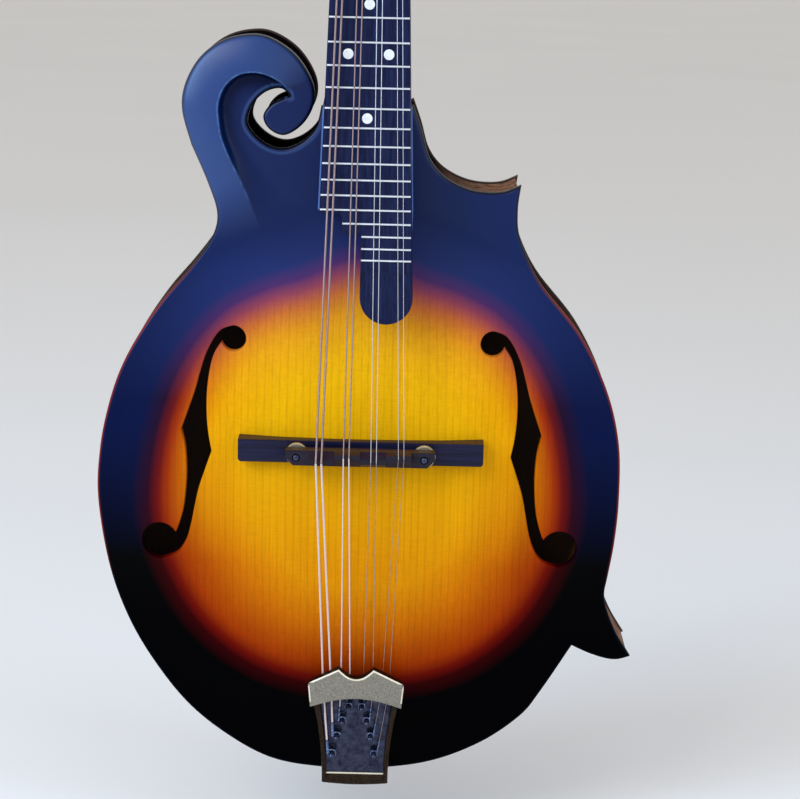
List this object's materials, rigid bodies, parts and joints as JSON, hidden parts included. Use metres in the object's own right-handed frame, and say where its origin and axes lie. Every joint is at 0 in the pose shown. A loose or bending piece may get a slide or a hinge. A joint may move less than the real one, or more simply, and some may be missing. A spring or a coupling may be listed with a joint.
{
  "type": "f-style mandolin",
  "caption": "Carved mandolin with a body scroll and two points, f-shaped sound holes, height-adjustable bridge, cast tailpiece and worm-geared tuners.",
  "frame": {"origin": "middle of the nut's lower front edge, where the neck is narrowest under the headstock and a wall hanger's yoke closes on it", "axes": "+Z along the body toward the headstock, -Y out of the face, +X to the treble side"},
  "size_m": [0.2608, 0.1035, 0.7122],
  "materials": {
    "spruce": "satin sunburst lacquer over straight spruce grain",
    "maple": "satin dark sunburst lacquer over maple",
    "plain_wood": "bare wood",
    "ebony": "satin ebony",
    "bone": "polished bone",
    "bronze": "antique bronze, cast grain",
    "brass": "satin brass",
    "steel": "plain steel",
    "wound_bronze": "bronze winding"
  },
  "bodies": {
    "mandolin": {"top_plate": "spruce", "back_plate": "maple", "rim": "maple", "neck": "maple", "fingerboard_riser": "maple", "top_lining": "plain_wood", "back_lining": "plain_wood", "head_block": "plain_wood", "tail_block": "plain_wood", "upper_point_block": "plain_wood", "lower_point_block": "plain_wood", "tone_bar_bass": "plain_wood", "tone_bar_treble": "plain_wood", "fingerboard": "ebony", "headstock_veneer": "ebony", "truss_rod_cover": "ebony", "bridge_base": "ebony", "strap_button": "ebony", "nut": "bone", "tailpiece": "bronze", "tailpiece_screw_1": "bronze", "tailpiece_screw_2": "bronze", "tuner_plate_bass": "bronze", "tuner_plate_treble": "bronze", "bridge_post_bass": "brass", "bridge_post_treble": "brass", "truss_rod": "steel", "string_a_inner": "steel", "string_a_outer": "steel", "string_e_inner": "steel", "string_e_outer": "steel", "string_g_outer": "wound_bronze", "string_g_inner": "wound_bronze", "string_d_outer": "wound_bronze", "string_d_inner": "wound_bronze"},
    "saddle": {"bridge_saddle": "ebony"},
    "wheel_bass": {"thumbwheel_bass": "brass"},
    "wheel_treble": {"thumbwheel_treble": "brass"},
    "rod_nut": {"truss_rod_nut": "brass"},
    "worm_bass_1": {"tuner_worm_bass_1": "bronze"},
    "post_bass_1": {"tuner_post_bass_1": "bronze"},
    "worm_bass_2": {"tuner_worm_bass_2": "bronze"},
    "post_bass_2": {"tuner_post_bass_2": "bronze"},
    "worm_bass_3": {"tuner_worm_bass_3": "bronze"},
    "post_bass_3": {"tuner_post_bass_3": "bronze"},
    "worm_bass_4": {"tuner_worm_bass_4": "bronze"},
    "post_bass_4": {"tuner_post_bass_4": "bronze"},
    "worm_treble_1": {"tuner_worm_treble_1": "bronze"},
    "post_treble_1": {"tuner_post_treble_1": "bronze"},
    "worm_treble_2": {"tuner_worm_treble_2": "bronze"},
    "post_treble_2": {"tuner_post_treble_2": "bronze"},
    "worm_treble_3": {"tuner_worm_treble_3": "bronze"},
    "post_treble_3": {"tuner_post_treble_3": "bronze"},
    "worm_treble_4": {"tuner_worm_treble_4": "bronze"},
    "post_treble_4": {"tuner_post_treble_4": "bronze"}
  },
  "joints": [
    {"name": "saddle_lift", "type": "slide", "parent": "mandolin", "child": "saddle", "axis": [0, -1, 0], "range_m": [-0.0012, 0.0016], "deforming": ["string_g_outer", "string_g_inner", "string_d_outer", "string_d_inner", "string_a_inner", "string_a_outer", "string_e_inner", "string_e_outer"]},
    {"name": "wheel_bass_turn", "type": "hinge", "parent": "saddle", "child": "wheel_bass", "pos_m": [-0.03, -0.0219, -0.358], "axis": [0, -1, 0], "range_deg": [-540, 720]},
    {"name": "wheel_treble_turn", "type": "hinge", "parent": "saddle", "child": "wheel_treble", "pos_m": [0.03, -0.0219, -0.358], "axis": [0, -1, 0], "range_deg": [-540, 720]},
    {"name": "worm_bass_1_turn", "type": "hinge", "parent": "mandolin", "child": "worm_bass_1", "pos_m": [-0.0185, 0.02757, 0.02709], "axis": [1, 0, 0], "continuous": true},
    {"name": "post_bass_1_turn", "type": "hinge", "parent": "mandolin", "child": "post_bass_1", "pos_m": [-0.0185, 0.02958, 0.03348], "axis": [0, -0.9537, 0.3007], "continuous": true},
    {"name": "worm_bass_2_turn", "type": "hinge", "parent": "mandolin", "child": "worm_bass_2", "pos_m": [-0.0185, 0.03449, 0.04903], "axis": [1, 0, 0], "continuous": true},
    {"name": "post_bass_2_turn", "type": "hinge", "parent": "mandolin", "child": "post_bass_2", "pos_m": [-0.0185, 0.0365, 0.05542], "axis": [0, -0.9537, 0.3007], "continuous": true},
    {"name": "worm_bass_3_turn", "type": "hinge", "parent": "mandolin", "child": "worm_bass_3", "pos_m": [-0.0185, 0.0414, 0.07096], "axis": [1, 0, 0], "continuous": true},
    {"name": "post_bass_3_turn", "type": "hinge", "parent": "mandolin", "child": "post_bass_3", "pos_m": [-0.0185, 0.04342, 0.07735], "axis": [0, -0.9537, 0.3007], "continuous": true},
    {"name": "worm_bass_4_turn", "type": "hinge", "parent": "mandolin", "child": "worm_bass_4", "pos_m": [-0.0185, 0.04832, 0.0929], "axis": [1, 0, 0], "continuous": true},
    {"name": "post_bass_4_turn", "type": "hinge", "parent": "mandolin", "child": "post_bass_4", "pos_m": [-0.0185, 0.05033, 0.09929], "axis": [0, -0.9537, 0.3007], "continuous": true},
    {"name": "worm_treble_1_turn", "type": "hinge", "parent": "mandolin", "child": "worm_treble_1", "pos_m": [0.0185, 0.02757, 0.02709], "axis": [1, 0, 0], "continuous": true},
    {"name": "post_treble_1_turn", "type": "hinge", "parent": "mandolin", "child": "post_treble_1", "pos_m": [0.0185, 0.02958, 0.03348], "axis": [0, -0.9537, 0.3007], "continuous": true},
    {"name": "worm_treble_2_turn", "type": "hinge", "parent": "mandolin", "child": "worm_treble_2", "pos_m": [0.0185, 0.03449, 0.04903], "axis": [1, 0, 0], "continuous": true},
    {"name": "post_treble_2_turn", "type": "hinge", "parent": "mandolin", "child": "post_treble_2", "pos_m": [0.0185, 0.0365, 0.05542], "axis": [0, -0.9537, 0.3007], "continuous": true},
    {"name": "worm_treble_3_turn", "type": "hinge", "parent": "mandolin", "child": "worm_treble_3", "pos_m": [0.0185, 0.0414, 0.07096], "axis": [1, 0, 0], "continuous": true},
    {"name": "post_treble_3_turn", "type": "hinge", "parent": "mandolin", "child": "post_treble_3", "pos_m": [0.0185, 0.04342, 0.07735], "axis": [0, -0.9537, 0.3007], "continuous": true},
    {"name": "worm_treble_4_turn", "type": "hinge", "parent": "mandolin", "child": "worm_treble_4", "pos_m": [0.0185, 0.04832, 0.0929], "axis": [1, 0, 0], "continuous": true},
    {"name": "post_treble_4_turn", "type": "hinge", "parent": "mandolin", "child": "post_treble_4", "pos_m": [0.0185, 0.05033, 0.09929], "axis": [0, -0.9537, 0.3007], "continuous": true},
    {"name": "rod_nut_turn", "type": "hinge", "parent": "mandolin", "child": "rod_nut", "pos_m": [0, 0.00847, 0.01843], "axis": [0, 0.0785, 0.9969], "range_deg": [-90, 90]}
  ],
  "couplings": [
    {"joint": "wheel_bass_turn", "follows": "saddle_lift", "rad_per_m": 7854},
    {"joint": "wheel_treble_turn", "follows": "saddle_lift", "rad_per_m": 7854},
    {"joint": "post_bass_1_turn", "follows": "worm_bass_1_turn", "ratio": -0.066667},
    {"joint": "post_bass_2_turn", "follows": "worm_bass_2_turn", "ratio": -0.066667},
    {"joint": "post_bass_3_turn", "follows": "worm_bass_3_turn", "ratio": -0.066667},
    {"joint": "post_bass_4_turn", "follows": "worm_bass_4_turn", "ratio": -0.066667},
    {"joint": "post_treble_1_turn", "follows": "worm_treble_1_turn", "ratio": -0.066667},
    {"joint": "post_treble_2_turn", "follows": "worm_treble_2_turn", "ratio": -0.066667},
    {"joint": "post_treble_3_turn", "follows": "worm_treble_3_turn", "ratio": -0.066667},
    {"joint": "post_treble_4_turn", "follows": "worm_treble_4_turn", "ratio": -0.066667}
  ]
}
